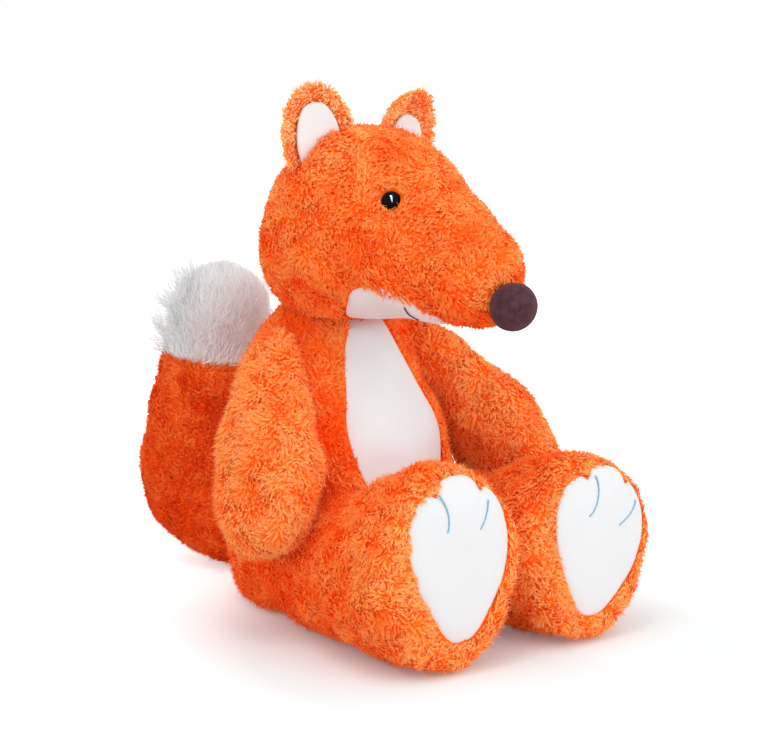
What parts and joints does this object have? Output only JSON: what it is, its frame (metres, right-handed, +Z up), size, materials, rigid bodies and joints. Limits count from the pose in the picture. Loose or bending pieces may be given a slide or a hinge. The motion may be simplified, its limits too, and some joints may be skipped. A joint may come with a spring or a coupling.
{
  "type": "plush fox",
  "caption": "Sitting plush fox of curly orange fur with a pointed snout, white bib and soles and an upright white-tipped tail.",
  "frame": {"origin": "on the floor, under the middle of the body", "axes": "+Z up, the fox looks along -Y, its left side is +X"},
  "size_m": [0.1908, 0.3131, 0.2756],
  "materials": {
    "orange_fur": "curly short pile, matt",
    "white_plush": "smooth short plush, matt",
    "white_long_fur": "long straight pile, matt",
    "nose_velour": "dark brown velour, matt",
    "eye_plastic": "polished black",
    "washer_plastic": "moulded, satin",
    "blue_thread": "stitched thread",
    "filling": "loose polyester fibre",
    "pouch_cloth": "plain woven cloth"
  },
  "bodies": {
    "torso": {"body_cover": "orange_fur", "bib_panel": "white_plush", "body_filling": "filling", "pellet_pouch": "pouch_cloth"},
    "head": {"head_cover": "orange_fur", "chin_panel": "white_plush", "head_filling": "filling", "ear_left": "orange_fur", "ear_left_lining": "white_plush", "ear_right": "orange_fur", "ear_right_lining": "white_plush", "eye_left": "eye_plastic", "eye_right": "eye_plastic", "eye_washer_left": "washer_plastic", "eye_washer_right": "washer_plastic", "nose": "nose_velour", "mouth_stitch_left": "blue_thread", "mouth_stitch_right": "blue_thread"},
    "arm_left": {"arm_left_cover": "orange_fur", "arm_left_filling": "filling"},
    "arm_right": {"arm_right_cover": "orange_fur", "arm_right_filling": "filling"},
    "leg_left": {"leg_left_cover": "orange_fur", "leg_left_filling": "filling", "sole_left": "white_plush", "toe_stitch_left_1": "blue_thread", "toe_stitch_left_2": "blue_thread"},
    "leg_right": {"leg_right_cover": "orange_fur", "leg_right_filling": "filling", "sole_right": "white_plush", "toe_stitch_right_1": "blue_thread", "toe_stitch_right_2": "blue_thread"},
    "tail": {"tail_cover": "orange_fur", "tail_tip": "white_long_fur", "tail_filling": "filling"}
  },
  "joints": [
    {"name": "head_turn", "type": "hinge", "parent": "torso", "child": "head", "pos_m": [0, -0.008, 0.158], "axis": [0, 0, 1], "range_deg": [-25, 25], "stiffness_Nm_per_rad": 0.02},
    {"name": "arm_left_lift", "type": "hinge", "parent": "torso", "child": "arm_left", "pos_m": [0.033, -0.002, 0.147], "axis": [0, -1, 0], "range_deg": [0, 60]},
    {"name": "arm_right_lift", "type": "hinge", "parent": "torso", "child": "arm_right", "pos_m": [-0.033, -0.002, 0.147], "axis": [0, 1, 0], "range_deg": [0, 60]},
    {"name": "leg_left_drop", "type": "hinge", "parent": "torso", "child": "leg_left", "pos_m": [0.041, -0.012, 0], "axis": [1, 0, 0], "range_deg": [0, 80]},
    {"name": "leg_right_drop", "type": "hinge", "parent": "torso", "child": "leg_right", "pos_m": [-0.041, -0.012, 0], "axis": [1, 0, 0], "range_deg": [0, 80]},
    {"name": "tail_wag", "type": "hinge", "parent": "torso", "child": "tail", "pos_m": [0, 0.06069, 0.0205], "axis": [0, 0, 1], "range_deg": [-20, 20], "stiffness_Nm_per_rad": 0.01}
  ]
}
